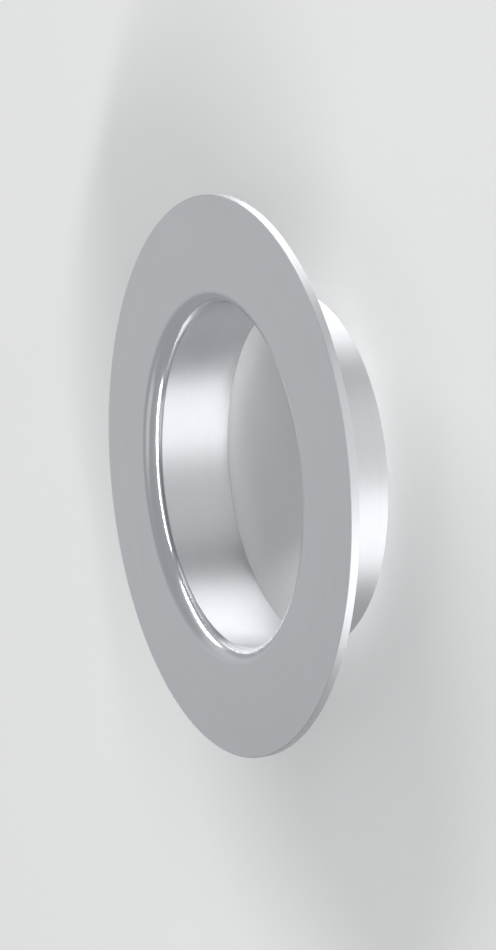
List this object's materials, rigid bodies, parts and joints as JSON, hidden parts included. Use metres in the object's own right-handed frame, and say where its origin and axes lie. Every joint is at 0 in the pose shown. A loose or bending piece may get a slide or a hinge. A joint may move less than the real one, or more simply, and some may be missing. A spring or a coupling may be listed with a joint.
{
  "type": "lap joint stub end",
  "caption": "Round pressed stub end: a thin flat flange bends evenly into a short straight neck. The neck is butt-welded to a pipe and a loose backing flange clamps the flange.",
  "frame": {"origin": "centre of the neck's weld end, which the part stands on", "axes": "+Z along the bore, from the weld end towards the gasket face; X and Y are equivalent"},
  "size_m": [0.138, 0.138, 0.023],
  "materials": {
    "stainless_steel": "satin, pickled sheet with faint turning marks"
  },
  "bodies": {
    "root": {"stub_end": "stainless_steel"}
  },
  "joints": []
}
